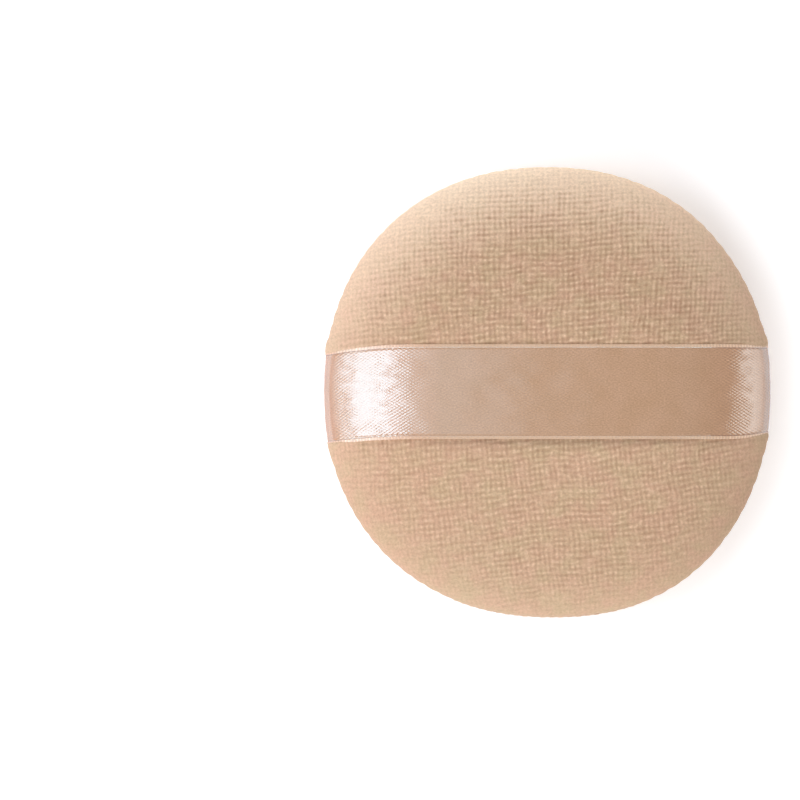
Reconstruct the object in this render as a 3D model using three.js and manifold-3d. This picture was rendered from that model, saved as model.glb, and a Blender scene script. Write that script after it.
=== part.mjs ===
// A round velour powder puff with a satin finger ribbon, lying on its applicator face.
// Millimetres. +Z is up, towards the ribbon side, and +X runs along the ribbon.
// The origin is on the table, under the middle of the puff.

import * as THREE from 'three';
import { mergeVertices } from 'three/addons/utils/BufferGeometryUtils.js';
import Module from 'manifold-3d';

// Driving dimensions of the puff
const widthAlongRibbon = 76;
const widthAcrossRibbon = 76.6;
const crownRise = 8;
const restCut = 0.5;

// Velour, and the seam allowance that the two covers turn inwards
const coverThickness = 1;
const allowanceLength = 5;
const pressedShare = 0.8;

// Satin ribbon
const ribbonWidth = 16;
const ribbonThickness = 0.35;
const selvedgeWidth = 0.5;
const selvedgeRise = 0.1;
const selvedgeGroove = 0.2;

// Where the ribbon's ends are sewn in: the left end low, the right end high and gathered
const leftEndShift = -1.2;
const rightEndShift = 0.4;
const leftEndGather = 0.15;
const rightEndGather = 0.45;
const leftEaseRun = 15;
const rightEaseRun = 7;

// Sewing thread and its stitches
const threadDiameter = 0.3;
const stitchLength = 2.5;
const stitchSlack = 0.2;
const seamInset = 1.2;
const turningGap = 32;
const closingStep = 1.5;
const closingReach = 0.3;

// Clearance between pieces that touch, and how far a cutter runs past what it cuts
const fitGap = 0.3;
const overrun = 2;

// Shape numbers that have no unit
const planExponent = 2.15;
const domeExponent = 3;
const foamRimShare = 0.73;
const bendShare = 0.7;
const roundSides = 48;
const outerDomeSteps = 10;
const innerDomeSteps = 8;
const foldSteps = 3;
const ribbonSteps = 40;
const tailBendSteps = 4;
const middleColumnShares = [-0.5, 0, 0.5];

// Levels and reaches, measured from the seam plane and from the middle
const quarterTurn = Math.PI / 2;
const halfWidth = widthAlongRibbon / 2;
const halfDepth = widthAcrossRibbon / 2;
const threadRadius = threadDiameter / 2;
const seamHalfGap = fitGap / 2;
const foldRadius = coverThickness;
const foldTop = seamHalfGap + foldRadius;
const domeRise = crownRise - foldTop;
const foldFoot = halfWidth - foldRadius;
const allowanceEnd = foldFoot - allowanceLength;
const allowanceTop = seamHalfGap + coverThickness * pressedShare;
const seamHeight = crownRise - restCut;

const wasm = await Module();
wasm.setup();

// Cloth, foam, satin and thread
function cloth(colour, roughness) {
  return new THREE.MeshStandardMaterial({ color: colour, roughness, metalness: 0 });
}
const velour = cloth(0xcbab8d, 0.95);
const foam = cloth(0xf3ead6, 0.9);
const satin = cloth(0xdcb49b, 0.35);
const sewingThread = cloth(0xd8b797, 0.7);

// The outline is a circle drawn a little square: how far it reaches in one direction, as a share
function planShare(angle) {
  const along = Math.abs(Math.cos(angle)) ** planExponent;
  const across = Math.abs(Math.sin(angle) * halfWidth / halfDepth) ** planExponent;
  return (along + across) ** (-1 / planExponent);
}

// Where the outline stands in X beside a point that far across the ribbon
function outlineX(y) {
  return halfWidth * (1 - Math.abs(y / halfDepth) ** planExponent) ** (1 / planExponent);
}

// A point of the dome's section, from the crown at turn 0 to the rim at a quarter turn, inset along its normal
function domePoint(turn, inset) {
  const acrossShare = Math.sin(turn) ** (2 / domeExponent);
  const normal = new THREE.Vector2(
    domeRise * Math.sin(turn) ** (2 - 2 / domeExponent),
    halfWidth * (2 / domeExponent) * Math.cos(turn),
  ).normalize();
  const point = new THREE.Vector2(halfWidth * acrossShare, foldTop + domeRise * Math.cos(turn));
  return point.addScaledVector(normal, -inset);
}

// The dome's section as a row of points from one turn to another, held below a level
function domeRun(steps, fromTurn, toTurn, inset, level) {
  return Array.from({ length: steps + 1 }, (_, i) => {
    const point = domePoint(fromTurn + (toTurn - fromTurn) * i / steps, inset);
    if (i === 0 && fromTurn === 0) point.x = 0;
    if (i === steps && toTurn === 0) point.x = 0;
    point.y = Math.min(point.y, level - inset);
    return point;
  });
}

// A section turned about +Z, with its circle drawn out to the puff's outline.
// Sections start at the crown, and a lathe wants them the other way for faces that point out.
function turned(section) {
  const geometry = new THREE.LatheGeometry([...section].reverse(), roundSides);
  geometry.rotateX(quarterTurn);
  const place = geometry.attributes.position;
  for (let i = 0; i < place.count; i += 1) {
    const share = planShare(Math.atan2(place.getY(i), place.getX(i)));
    place.setXY(i, place.getX(i) * share, place.getY(i) * share);
  }
  return welded(geometry);
}

// Shared corners merged, and the triangles that shrink to a line at the axis left out
function welded(geometry) {
  geometry.deleteAttribute('normal');
  geometry.deleteAttribute('uv');
  const merged = mergeVertices(geometry);
  const corners = merged.index.array;
  const kept = [];
  for (let i = 0; i < corners.length; i += 3) {
    const [a, b, c] = corners.slice(i, i + 3);
    if (a !== b && b !== c && c !== a) kept.push(a, b, c);
  }
  merged.setIndex(kept);
  merged.computeVertexNormals();
  return merged;
}

function toSolid(geometry) {
  return new wasm.Manifold(new wasm.Mesh({
    numProp: 3,
    vertProperties: new Float32Array(geometry.attributes.position.array),
    triVerts: new Uint32Array(geometry.index.array),
  }));
}

function fromSolid(solid) {
  const mesh = solid.getMesh();
  const geometry = new THREE.BufferGeometry();
  geometry.setAttribute('position', new THREE.BufferAttribute(mesh.vertProperties, mesh.numProp));
  geometry.setIndex(new THREE.BufferAttribute(mesh.triVerts, 1));
  geometry.computeVertexNormals();
  return geometry;
}

function named(name, geometry, material) {
  const mesh = new THREE.Mesh(geometry, material);
  mesh.name = name;
  return mesh;
}

// Ribbon: where its middle line lies and how wide it is, eased towards its two sewn ends
function endEase(x) {
  const run = x < 0 ? leftEaseRun : rightEaseRun;
  const share = Math.max(0, Math.abs(x) - (halfWidth - run)) / run;
  return Math.min(1, share) ** 2;
}

function ribbonMiddle(x) {
  return endEase(x) * (x < 0 ? leftEndShift : rightEndShift);
}

function ribbonHalf(x) {
  return ribbonWidth / 2 - endEase(x) * (x < 0 ? leftEndGather : rightEndGather);
}

// Places across the ribbon, each with how far its upper face stands up there
function ribbonColumns(half) {
  const ridge = half - selvedgeWidth;
  const groove = ridge - selvedgeGroove;
  const side = [[half, selvedgeRise], [ridge, selvedgeRise], [groove, 0]];
  const middle = middleColumnShares.map((share) => [share * half, 0]);
  return [...side.map(([y, rise]) => [-y, rise]), ...middle, ...side.reverse()];
}

// A closed sheet from rows of stations: each gives, for every column, its lower and its upper point
function sheet(rows) {
  const columnCount = rows[0].length;
  const corner = (row, column, side) => (row * columnCount + column) * 2 + side;
  const points = rows.flat(2).flatMap((point) => point.toArray());
  const faces = [];
  const quad = (a, b, c, d) => faces.push(a, b, c, a, c, d);
  for (let r = 0; r + 1 < rows.length; r += 1) {
    for (let c = 0; c + 1 < columnCount; c += 1) {
      quad(corner(r, c, 1), corner(r + 1, c, 1), corner(r + 1, c + 1, 1), corner(r, c + 1, 1));
      quad(corner(r, c, 0), corner(r, c + 1, 0), corner(r + 1, c + 1, 0), corner(r + 1, c, 0));
    }
    const last = columnCount - 1;
    quad(corner(r, 0, 0), corner(r + 1, 0, 0), corner(r + 1, 0, 1), corner(r, 0, 1));
    quad(corner(r, last, 0), corner(r, last, 1), corner(r + 1, last, 1), corner(r + 1, last, 0));
  }
  const end = rows.length - 1;
  for (let c = 0; c + 1 < columnCount; c += 1) {
    quad(corner(0, c, 0), corner(0, c, 1), corner(0, c + 1, 1), corner(0, c + 1, 0));
    quad(corner(end, c, 0), corner(end, c + 1, 0), corner(end, c + 1, 1), corner(end, c, 1));
  }
  const geometry = new THREE.BufferGeometry();
  geometry.setAttribute('position', new THREE.Float32BufferAttribute(points, 3));
  geometry.setIndex(faces);
  geometry.computeVertexNormals();
  return geometry;
}

// Which way is out of the dome in the ribbon's own upright plane
function domeOut(x, y) {
  const along = Math.abs(x / halfWidth) ** planExponent;
  const reach = (along + Math.abs(y / halfDepth) ** planExponent) ** (1 / planExponent);
  const push = domeRise * (domeExponent / 2) * reach ** (domeExponent - planExponent);
  const slope = Math.abs(x / halfWidth) ** (planExponent - 1) / halfWidth;
  const up = Math.sqrt(Math.max(0, 1 - reach ** domeExponent));
  const out = new THREE.Vector3(Math.sign(x) * push * slope, 0, up).normalize();
  return { out, z: foldTop + domeRise * up };
}

// The span of ribbon that lies over the crown, from rim to rim
function bandRow(step) {
  const turn = quarterTurn * (2 * step / ribbonSteps - 1);
  const share = Math.sign(turn) * Math.abs(Math.sin(turn)) ** (2 / domeExponent);
  const station = share * halfWidth;
  return ribbonColumns(ribbonHalf(station)).map(([offset, rise]) => {
    const y = ribbonMiddle(station) + offset;
    const x = share * outlineX(y);
    const { out, z } = domeOut(x, y);
    const foot = new THREE.Vector3(x, y, z).addScaledVector(out, fitGap);
    return [foot, foot.clone().addScaledVector(out, ribbonThickness + rise)];
  });
}

// One end of the ribbon: down past the fold, round into the seam and in with the allowance.
// Its middle line is walked from outside to inside, as places out from the outline and up from the seam.
function tailWalk() {
  const bendRadius = (foldTop - fitGap) * bendShare;
  const outside = fitGap + ribbonThickness / 2;
  const bendFoot = outside - bendRadius;
  const stations = [{ out: outside, z: foldTop - fitGap, turn: 0 }];
  for (let i = 0; i <= tailBendSteps; i += 1) {
    const turn = quarterTurn * i / tailBendSteps;
    const out = bendFoot + bendRadius * Math.cos(turn);
    stations.push({ out, z: bendRadius * (1 - Math.sin(turn)), turn });
  }
  stations.push({ out: -foldRadius, z: 0, turn: quarterTurn });
  stations.push({ out: -foldRadius - allowanceLength, z: 0, turn: quarterTurn });
  return stations;
}

function ribbonTail(side) {
  const edge = side * halfWidth;
  const rows = tailWalk().map(({ out, z, turn }) => {
    const face = new THREE.Vector3(side * Math.cos(turn), 0, -Math.sin(turn));
    return ribbonColumns(ribbonHalf(edge)).map(([offset, rise]) => {
      const y = ribbonMiddle(edge) + offset;
      const middle = new THREE.Vector3(side * (outlineX(y) + out), y, z);
      const lower = middle.clone().addScaledVector(face, -ribbonThickness / 2);
      return [lower, middle.addScaledVector(face, ribbonThickness / 2 + rise)];
    });
  });
  return sheet(side < 0 ? rows.reverse() : rows);
}

// The room in the seam for one ribbon end
function tailSlot(side) {
  const edge = side * halfWidth;
  const inner = allowanceEnd - overrun;
  const outer = halfWidth + overrun;
  const across = 2 * (ribbonHalf(edge) + fitGap);
  const tall = ribbonThickness + 2 * (selvedgeRise + fitGap);
  const slot = new THREE.BoxGeometry(outer - inner, across, tall);
  slot.translate(side * (inner + outer) / 2, ribbonMiddle(edge), 0);
  return toSolid(welded(slot));
}

// A cover: crown, drawn-in side, fold at the seam, and the allowance that lies inside
function coverSection(level) {
  const fold = Array.from({ length: foldSteps }, (_, i) => {
    const turn = quarterTurn * (i + 1) / foldSteps;
    return new THREE.Vector2(foldFoot + foldRadius * Math.cos(turn), foldTop - foldRadius * Math.sin(turn));
  });
  return [
    ...domeRun(outerDomeSteps, 0, quarterTurn, 0, level),
    ...fold,
    new THREE.Vector2(allowanceEnd, seamHalfGap),
    new THREE.Vector2(allowanceEnd, allowanceTop),
    new THREE.Vector2(foldFoot, allowanceTop),
    ...domeRun(innerDomeSteps, quarterTurn, 0, coverThickness, level),
  ];
}

// Section points of the applicator side: the same run, upside down and taken the other way
function flipped(section) {
  return section.map((point) => new THREE.Vector2(point.x, -point.y)).reverse();
}

function withTailSlots(geometry) {
  const slots = [tailSlot(-1), tailSlot(1)];
  return fromSolid(slots.reduce((solid, slot) => solid.subtract(slot), toSolid(geometry)));
}

// One half of the foam's section, under a crown at that level: blunt at the rim, and open round the allowance
function foamHalf(level) {
  const slotTop = allowanceTop + fitGap;
  const run = domeRun(innerDomeSteps, 0, quarterTurn * foamRimShare, coverThickness + fitGap, level);
  const rim = run[run.length - 1].x;
  return [...run, new THREE.Vector2(rim, slotTop), new THREE.Vector2(allowanceEnd - fitGap, slotTop)];
}

function foamGeometry() {
  return turned([...foamHalf(crownRise), ...flipped(foamHalf(seamHeight))]);
}

// A line of stitches whose samples fall on the stitches themselves, and not at even lengths
class StitchLine extends THREE.Curve {
  constructor(place) {
    super();
    this.place = place;
  }

  getPoint(share, target = new THREE.Vector3()) {
    return target.copy(this.place(share));
  }

  getPointAt(share, target) {
    return this.getPoint(share, target);
  }

  getTangentAt(share, target) {
    return this.getTangent(share, target);
  }
}

function threadAlong(place, steps) {
  const section = new THREE.Shape([
    new THREE.Vector2(threadRadius, 0),
    new THREE.Vector2(0, threadRadius),
    new THREE.Vector2(-threadRadius, 0),
    new THREE.Vector2(0, -threadRadius),
  ]);
  return new THREE.ExtrudeGeometry(section, { steps, extrudePath: new StitchLine(place) });
}

// A point that stands on the outline drawn in to a radius, in one direction
function onPlan(radius, angle, z) {
  const reach = radius * planShare(angle);
  return new THREE.Vector3(reach * Math.cos(angle), reach * Math.sin(angle), z);
}

// One thread of the lockstitch, on the outer face of its allowance, all round but for the turning gap
function seamThread(side) {
  const radius = foldFoot - seamInset;
  const gapTurn = turningGap / radius;
  const sewnTurn = 4 * quarterTurn - gapTurn;
  const stitches = Math.round(sewnTurn * radius / stitchLength);
  const low = allowanceTop + fitGap + threadRadius;
  return threadAlong((share) => {
    const angle = -quarterTurn + gapTurn / 2 + sewnTurn * share;
    const lift = stitchSlack * (1 - Math.cos(share * stitches * 4 * quarterTurn)) / 2;
    return onPlan(radius, angle, side * (low + lift));
  }, stitches * 2);
}

// Hand stitches to and fro across the groove between the two folds, where the turning gap is closed
function closingThread() {
  const steps = Math.round(turningGap / closingStep);
  const gapTurn = turningGap / halfWidth;
  return threadAlong((share) => {
    const angle = -quarterTurn + gapTurn * (share - 1 / 2);
    const swing = Math.asin(Math.cos(share * steps * Math.PI)) / quarterTurn;
    return onPlan(halfWidth, angle, closingReach * swing);
  }, steps);
}

const pad = new THREE.Group();
pad.position.z = seamHeight;
pad.add(named('foam_core', foamGeometry(), foam));
pad.add(named('ribbon_side_cover', withTailSlots(turned(coverSection(crownRise))), velour));
pad.add(named('applicator_cover', withTailSlots(turned(flipped(coverSection(seamHeight)))), velour));
pad.add(named('seam_needle_thread', seamThread(1), sewingThread));
pad.add(named('seam_bobbin_thread', seamThread(-1), sewingThread));
pad.add(named('closing_thread', closingThread(), sewingThread));

const ribbon = new THREE.Group();
ribbon.position.z = seamHeight;
const bandRows = Array.from({ length: ribbonSteps + 1 }, (_, step) => bandRow(step));
ribbon.add(named('ribbon_band', sheet(bandRows), satin));
ribbon.add(named('ribbon_tail_left', ribbonTail(-1), satin));
ribbon.add(named('ribbon_tail_right', ribbonTail(1), satin));

const puff = new THREE.Group();
puff.add(pad, ribbon);

export default puff;
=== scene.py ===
import math

import bpy
import numpy as np
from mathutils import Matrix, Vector
from mathutils.geometry import delaunay_2d_cdt


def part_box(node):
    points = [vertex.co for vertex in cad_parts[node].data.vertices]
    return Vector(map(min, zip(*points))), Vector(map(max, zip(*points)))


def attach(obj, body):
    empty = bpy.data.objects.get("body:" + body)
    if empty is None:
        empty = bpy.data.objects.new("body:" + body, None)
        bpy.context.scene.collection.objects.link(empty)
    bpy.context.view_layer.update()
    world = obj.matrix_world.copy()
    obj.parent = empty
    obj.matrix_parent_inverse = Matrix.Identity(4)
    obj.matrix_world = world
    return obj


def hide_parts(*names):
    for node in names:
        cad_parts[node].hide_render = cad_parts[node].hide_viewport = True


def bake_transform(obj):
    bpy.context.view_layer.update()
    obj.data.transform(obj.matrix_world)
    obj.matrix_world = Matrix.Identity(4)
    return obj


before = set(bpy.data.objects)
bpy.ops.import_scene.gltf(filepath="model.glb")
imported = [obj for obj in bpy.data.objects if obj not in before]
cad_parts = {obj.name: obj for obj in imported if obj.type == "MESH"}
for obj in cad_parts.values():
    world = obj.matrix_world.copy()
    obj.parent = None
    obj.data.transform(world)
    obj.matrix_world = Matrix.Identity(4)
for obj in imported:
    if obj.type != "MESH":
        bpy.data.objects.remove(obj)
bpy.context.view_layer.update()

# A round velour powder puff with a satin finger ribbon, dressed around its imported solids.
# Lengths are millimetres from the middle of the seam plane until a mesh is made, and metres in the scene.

MM = 0.001
TURN = 2 * math.pi
QUARTER = math.pi / 2
TINY = 1e-6

# Sizes that the solids keep and that can't be read from their boxes
SEAM_GAP = 0.15
COVER_THICK = 1.0
ALLOWANCE = 5.0
ALLOWANCE_TOP = 0.95
PLAN_POWER = 2.15
DOME_POWER = 3.0
FIT_GAP = 0.3
FOAM_RIM_SHARE = 0.73
BEND_SHARE = 0.7

# Sizes from their boxes
cover_low, cover_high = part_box("ribbon_side_cover")
rest_low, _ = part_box("applicator_cover")
HALF_X = cover_high.x / MM
HALF_Y = cover_high.y / MM
SEAM_Z = cover_low.z / MM - SEAM_GAP
CROWN = cover_high.z / MM - SEAM_Z
REST = SEAM_Z - rest_low.z / MM

FOLD_TOP = SEAM_GAP + COVER_THICK
FOLD_FOOT = HALF_X - COVER_THICK
ALLOWANCE_END = FOLD_FOOT - ALLOWANCE
DOME_RISE = CROWN - FOLD_TOP

# Satin ribbon, as the solids have it. A pair is for its left end and its right one.
RIBBON_WIDTH, RIBBON_THICK = 16.0, 0.35
END_SHIFT, END_NARROWED, END_RUN = (-1.2, 0.4), (0.15, 0.45), (15.0, 7.0)

# Sewing thread, as the solids have it
THREAD = 0.3
STITCH, STITCH_SLACK = 2.5, 0.2
SEAM_INSET = 1.2
TURNING_GAP = 32
CLOSING_STEP = 1.5

# Where the outline is fuller or flatter: middle and spread in degrees, and share of the radius
UNEVEN = ((-60, 22, 0.015), (36, 18, -0.008))


# Numbers

def smooth(value, low, high):
    """0 below low, 1 above high, and a soft step between them."""
    t = np.clip((np.asarray(value, float) - low) / (high - low), 0, 1)
    return t * t * (3 - 2 * t)


def ripple(x, y, pitch, seed, waves=14, least=0.75, most=1.4):
    """A smooth random field over a plane, about 1 high, whose waves are about that long."""
    rng = np.random.default_rng(seed)
    total = np.zeros(np.shape(x))
    for _ in range(waves):
        angle, phase = rng.uniform(0, TURN, 2)
        step = TURN / (pitch * rng.uniform(least, most))
        total += np.cos(step * (x * math.cos(angle) + y * math.sin(angle)) + phase)
    return total * math.sqrt(2 / waves)


def arc_length(x, z):
    """How far along its course each point of a line lies."""
    return np.append(0, np.cumsum(np.hypot(np.diff(x), np.diff(z))))


def ring_angles(count):
    return np.arange(count) * TURN / count


def plan_share(angle):
    """How far the outline reaches in one direction, as a share of a circle."""
    along = np.abs(np.cos(angle)) ** PLAN_POWER
    across = np.abs(np.sin(angle) * HALF_X / HALF_Y) ** PLAN_POWER
    uneven = 1.0
    for middle, width, size in UNEVEN:
        away = np.mod(angle - math.radians(middle) + math.pi, TURN) - math.pi
        uneven = uneven + size * np.exp(-(away / math.radians(width)) ** 2)
    return uneven * (along + across) ** (-1 / PLAN_POWER)


def plan_place(reach, angle):
    """X and Y that far out in that direction, with the circle drawn out to the outline."""
    reach = reach * plan_share(angle)
    return reach * np.cos(angle), reach * np.sin(angle)


def on_plan(reach, angle, z):
    return np.stack([*plan_place(reach, angle), z + 0 * angle], 1)


def outline_x(y):
    """X of the outline at that Y."""
    return HALF_X * (1 - np.abs(y / HALF_Y) ** PLAN_POWER) ** (1 / PLAN_POWER)


def dome_section(count):
    """The dome from crown to rim: the turn of each point, how far out it lies and how high."""
    turn = np.linspace(0, 1, count) ** CROWN_CROWDING * QUARTER
    return turn, HALF_X * np.sin(turn) ** (2 / DOME_POWER), FOLD_TOP + DOME_RISE * np.cos(turn)


def dome_height(x, y):
    reach = (np.abs(x / HALF_X) ** PLAN_POWER + np.abs(y / HALF_Y) ** PLAN_POWER) ** (1 / PLAN_POWER)
    return FOLD_TOP + DOME_RISE * np.sqrt(np.maximum(0, 1 - reach ** DOME_POWER))


def square_to_disc(u, v):
    """A square from -1 to 1 squeezed into a circle, ring by ring."""
    return u * np.sqrt(1 - v * v / 2), v * np.sqrt(1 - u * u / 2)


def disc_to_square(a, b):
    """The way back from square_to_disc."""
    def root(one, other):
        return np.sqrt(np.maximum(0, 2 + one * one - other * other + math.sqrt(8) * one))
    return (root(a, b) - root(-a, b)) / 2, (root(b, a) - root(-b, a)) / 2


def spline_weights(t):
    """Shares of the four neighbours of a place that lies t of the way from the second to the third."""
    second = 3 * t ** 3 - 6 * t ** 2 + 4
    third = 3 * (t + t ** 2 - t ** 3) + 1
    return (1 - t) ** 3 / 6, second / 6, third / 6, t ** 3 / 6


def ribbon_ease(x):
    """0 along the ribbon, eased to 1 where its ends are sewn in."""
    run = np.where(x < 0, *END_RUN)
    return np.clip((np.abs(x) - (HALF_X - run)) / run, 0, 1) ** 2


def ribbon_middle(x):
    return ribbon_ease(x) * np.where(x < 0, *END_SHIFT)


def ribbon_half(x):
    return RIBBON_WIDTH / 2 - ribbon_ease(x) * np.where(x < 0, *END_NARROWED)


# Meshes

def mesh_object(name, points, faces, material):
    mesh = bpy.data.meshes.new(name)
    mesh.from_pydata(points.tolist(), [], faces)
    mesh.polygons.foreach_set("use_smooth", np.ones(len(faces), bool))
    mesh.materials.append(material)
    mesh.update()
    obj = bpy.data.objects.new(name, mesh)
    bpy.context.scene.collection.objects.link(obj)
    return obj


def to_scene(points):
    """Millimetres above the seam plane to metres above the table."""
    return (points + [0, 0, SEAM_Z]) * MM


def point_value(obj, name, values):
    """A value for each point, and 0 for the points after those."""
    layer = obj.data.attributes.new(name, "FLOAT", "POINT")
    padded = np.pad(values, (0, len(layer.data) - len(values)))
    layer.data.foreach_set("value", padded.astype(np.float32))


def uv_map(obj, uv):
    uv = np.pad(uv, ((0, len(obj.data.vertices) - len(uv)), (0, 0)))
    corners = np.empty(len(obj.data.loops), np.int32)
    obj.data.loops.foreach_get("vertex_index", corners)
    obj.data.uv_layers.new(name="cloth").data.foreach_set("uv", uv[corners].astype(np.float32).ravel())


def grid_quads(grid, flip=False):
    """Faces of a grid that holds the numbers of its points."""
    corners = np.stack([grid[:-1, :-1], grid[1:, :-1], grid[1:, 1:], grid[:-1, 1:]], -1).reshape(-1, 4)
    return (corners[:, ::-1] if flip else corners).tolist()


def between_rings(first, count, then, next_count):
    """Faces from one ring of points to the next, which has as many points, half as many, or one."""
    if next_count == 1:
        return [[first + i, then, first + (i + 1) % count] for i in range(count)]
    if next_count == count:
        return [[first + i, then + i, then + (i + 1) % count, first + (i + 1) % count] for i in range(count)]
    faces = []
    for i in range(next_count):
        a, b, c = (first + (2 * i + k) % count for k in range(3))
        d, e = then + i, then + (i + 1) % next_count
        faces += [[a, d, b], [b, d, e], [b, e, c]]
    return faces


# One side of the puff

SECTION_POINTS, FOLD_POINTS, INWARD_POINTS = 1500, 60, 40
CROWN_CROWDING = 1.5
CLIP_SOFTNESS = 0.08

# The seam's mouth: the room that it makes for a ribbon end, beside it, and before and after the rim
MOUTH_LIFT, MOUTH_BESIDE, MOUTH_BEFORE, MOUTH_AFTER = 0.16, 3, 2.5, 0.6

# How deep the ribbon's ends are drawn in at the rim, and how much deeper and wider they press the cloth
TUCK_START, END_TUCK = 27.0, (0.7, 0.74)
PRESS_SPARE, PRESS_EDGE, PRESS_BELOW = 0.2, 1.0, 3

# How far the pile stands up under the ribbon's edges, and beside the upper and the lower one
UNDER_LIP, UNDER_LIP_SPAN = 0.27, (-1.2, -0.3)
LIPS, LIP_STARTS, LIP_RISE = (0.5, 0.32), (-0.48, -0.05), 0.15
LIP_FADE_SPAN, LIP_RIM_LOSS, LIP_RIM_SPAN = (0.8, 4), 0.4, (27, 35)


def pile_lip(x, from_middle, beside):
    """How far the pile stands up, that far from the ribbon's middle and beside its edge."""
    full, start = (np.where(from_middle > 0, *pair) for pair in (LIPS, LIP_STARTS))
    rise = (full - UNDER_LIP) * smooth(beside - start, 0, LIP_RISE)
    lip = UNDER_LIP * smooth(beside, *UNDER_LIP_SPAN) + rise
    return lip * (1 - smooth(beside, *LIP_FADE_SPAN)) * (1 - LIP_RIM_LOSS * smooth(np.abs(x), *LIP_RIM_SPAN))


class Side:
    """The outer face of one cover, from its crown over its fold to the inner end of its allowance.

    A place on it is an arc length s from the crown, in the direction of an angle. Its rim and foot are the
    arc lengths at which the dome and the fold end.
    """

    def __init__(self, sign, level, softness):
        self.sign = sign
        turn, reach, height = dome_section(SECTION_POINTS)
        if softness:
            height = -softness * np.logaddexp(-height / softness, -level / softness)
        fold = np.linspace(0, QUARTER, FOLD_POINTS)[1:]
        inward = np.linspace(FOLD_FOOT, ALLOWANCE_END, INWARD_POINTS)[1:]
        reach = np.concatenate([reach, FOLD_FOOT + COVER_THICK * np.cos(fold), inward])
        height = np.concatenate([height, FOLD_TOP - COVER_THICK * np.sin(fold), 0 * inward + SEAM_GAP])
        self.length = arc_length(reach, height)
        tangent = np.stack([np.gradient(k, self.length) for k in (reach, height)])
        tangent /= np.hypot(*tangent)
        self.profile = reach, height, -tangent[1], tangent[0]
        rim = len(turn) - 1
        self.rim, self.foot = self.length[[rim, rim + len(fold)]]
        self.swell = None

    def swell_at(self, s, angle):
        """How far the stuffing pushes it, from the square grid of simulated points."""
        if self.swell is None:
            return np.zeros((len(s), 3))
        out = np.clip(s / self.rim, 0, 1)
        last = len(self.swell) - 1
        cells, weights = [], []
        for place in disc_to_square(out * np.cos(angle), out * np.sin(angle)):
            at = (np.clip(place, -1, 1) + 1) / 2 * last
            cell = np.minimum(at.astype(int), last - 1)
            cells.append(cell)
            weights.append(spline_weights(at - cell))
        padded = np.pad(self.swell, ((1, 1), (1, 1), (0, 0)))
        return sum(padded[cells[0] + row, cells[1] + column] * (across * along)[:, None]
                   for row, across in enumerate(weights[0]) for column, along in enumerate(weights[1]))

    def plan(self, s, angle):
        """X and Y of the bare cloth."""
        return plan_place(np.interp(s, self.length, self.profile[0]), angle)

    def mouth(self, s, x, y):
        """Where a ribbon end is sewn in, the fold and the allowance make room for it."""
        middle = np.where(x < 0, *END_SHIFT)
        wide = 1 - smooth(np.abs(y - middle), RIBBON_WIDTH / 2, RIBBON_WIDTH / 2 + MOUTH_BESIDE)
        return MOUTH_LIFT * wide * smooth(s, self.rim - MOUTH_BEFORE, self.rim + MOUTH_AFTER)

    def dent(self, s, angle):
        """How far the tight ribbon presses it in, less how far the pile stands up beside the ribbon."""
        x, y = self.plan(s, angle)
        from_middle = y - ribbon_middle(x)
        beside = np.abs(from_middle) - ribbon_half(x)
        tuck = np.where(x < 0, *END_TUCK) + PRESS_SPARE
        press = (1 - smooth(beside, -PRESS_EDGE, 0)) * tuck * smooth(np.abs(x), TUCK_START, HALF_X)
        above = 1 - smooth(s, self.rim, self.foot)
        if self.sign < 0:
            return press * above * smooth(s, self.rim - PRESS_BELOW, self.rim)
        return (press - pile_lip(x, from_middle, beside)) * above

    def place(self, s, angle, out=0.0):
        """Points that far out of the cloth."""
        s, angle = np.broadcast_arrays(np.asarray(s, float), angle)
        bare = -self.dent(s, angle)
        reach, height, out_reach, out_height = (np.interp(s, self.length, k) for k in self.profile)
        x, y = plan_place(reach + bare * out_reach, angle)
        height = height + bare * out_height + self.mouth(s, x, y)
        points = np.stack([x, y, self.sign * height], 1) + self.swell_at(s, angle)
        points[:, 2] = np.maximum(points[:, 2], -REST)
        step = np.stack([*plan_place(out_reach, angle), self.sign * out_height], 1)
        return points + step * np.asarray(out)[..., None]


upper = Side(1, CROWN, 0)
lower = Side(-1, REST, CLIP_SOFTNESS)


# Stuffing: the covers blown up as one bag, sewn at the seam and held down by the ribbon

SWELL_STEPS = 44
SWELL_FRAMES = 20
SWELL_PRESSURE = 100.0
BAG_MASS, BAG_TENSION, BAG_BENDING = 0.3, 5.0, 0.5
SWELL_CAP = 0.7
REST_MARGIN = 0.02


def blown_up(points, quads, held):
    """How far each point of a closed bag moves under pressure while some of them are held."""
    mesh = bpy.data.meshes.new("bag")
    mesh.from_pydata((points * MM).tolist(), [], quads)
    bag = bpy.data.objects.new("bag", mesh)
    bpy.context.scene.collection.objects.link(bag)
    group = bag.vertex_groups.new(name="held")
    group.add(np.flatnonzero(held).tolist(), 1.0, "REPLACE")
    cloth = bag.modifiers.new("bag", "CLOTH").settings
    cloth.vertex_group_mass = "held"
    cloth.use_pressure = True
    cloth.uniform_pressure_force = SWELL_PRESSURE
    cloth.effector_weights.gravity = 0
    cloth.mass = BAG_MASS
    cloth.tension_stiffness = cloth.compression_stiffness = BAG_TENSION
    cloth.bending_stiffness = BAG_BENDING
    for step in range(1, SWELL_FRAMES + 1):
        bpy.context.scene.frame_set(step)
    shaped = bag.evaluated_get(bpy.context.evaluated_depsgraph_get()).data
    after = np.empty(len(points) * 3, np.float32)
    shaped.vertices.foreach_get("co", after)
    bpy.data.objects.remove(bag)
    bpy.context.scene.frame_set(1)
    moved = after.reshape(-1, 3) / MM - points
    far = np.linalg.norm(moved, axis=1, keepdims=True)
    return moved * (SWELL_CAP / np.maximum(SWELL_CAP, far))


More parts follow.
